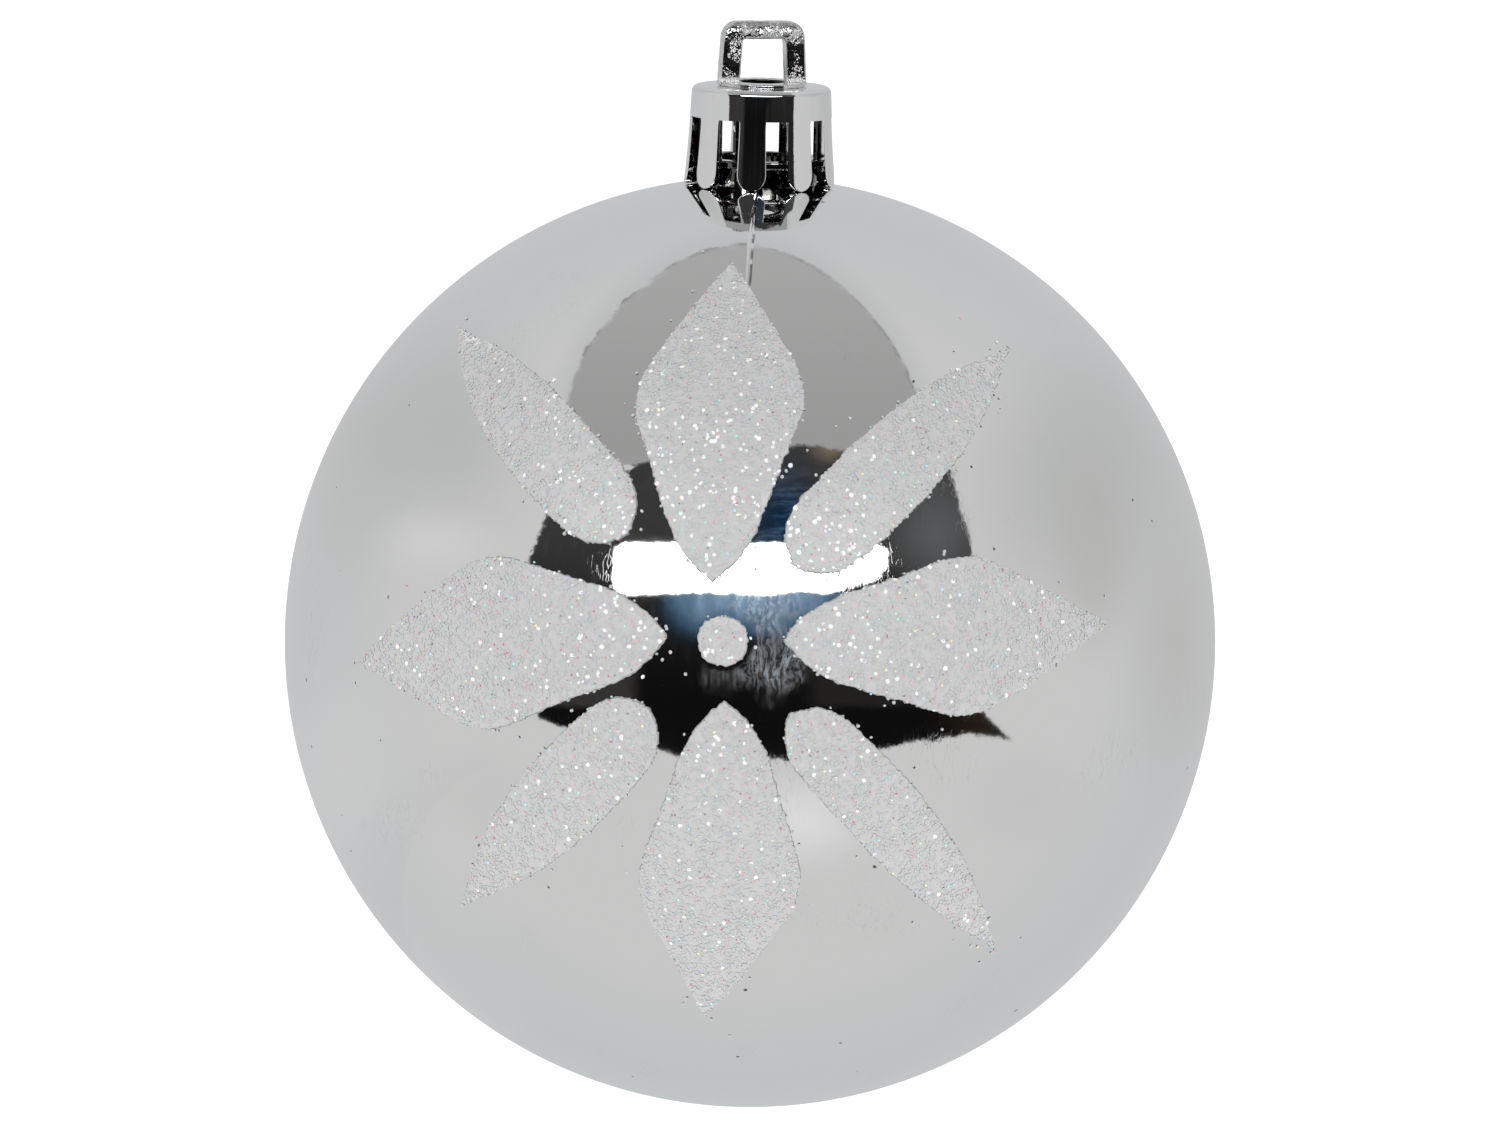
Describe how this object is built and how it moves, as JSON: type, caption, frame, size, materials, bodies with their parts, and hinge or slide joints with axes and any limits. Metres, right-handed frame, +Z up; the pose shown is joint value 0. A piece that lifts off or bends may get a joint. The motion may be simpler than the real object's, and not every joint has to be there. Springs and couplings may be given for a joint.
{
  "type": "ball ornament",
  "caption": "Mirror-silver hollow ball ornament with a white glitter flower front and back, a clip-fit cap that turns on the neck and a moulded hanging loop.",
  "frame": {"origin": "the hanging point: middle of the underside of the loop's top bar; the ball's centre is 52 mm below it", "axes": "+Z up along the neck axis, -Y towards the side that the front flower faces, +X to the right when looking at that flower"},
  "size_m": [0.08, 0.0808, 0.0935],
  "materials": {
    "mirror_shell": "polished",
    "mirror_cap": "polished",
    "mirror_loop": "satin",
    "dried_adhesive": "satin",
    "white_glitter": "satin"
  },
  "bodies": {
    "ball": {"ball_shell": "mirror_shell", "front_glue_print": "dried_adhesive", "back_glue_print": "dried_adhesive", "front_dot": "white_glitter", "front_petal_east": "white_glitter", "front_petal_north_east": "white_glitter", "front_petal_north": "white_glitter", "front_petal_north_west": "white_glitter", "front_petal_west": "white_glitter", "front_petal_south_west": "white_glitter", "front_petal_south": "white_glitter", "front_petal_south_east": "white_glitter", "back_dot": "white_glitter", "back_petal_east": "white_glitter", "back_petal_north_east": "white_glitter", "back_petal_north": "white_glitter", "back_petal_north_west": "white_glitter", "back_petal_west": "white_glitter", "back_petal_south_west": "white_glitter", "back_petal_south": "white_glitter", "back_petal_south_east": "white_glitter"},
    "cap": {"cap": "mirror_cap", "hanging_loop": "mirror_loop"}
  },
  "joints": [
    {"name": "cap_swivel", "type": "hinge", "parent": "ball", "child": "cap", "pos_m": [0, 0, -0.0104], "axis": [0, 0, 1], "continuous": true}
  ]
}
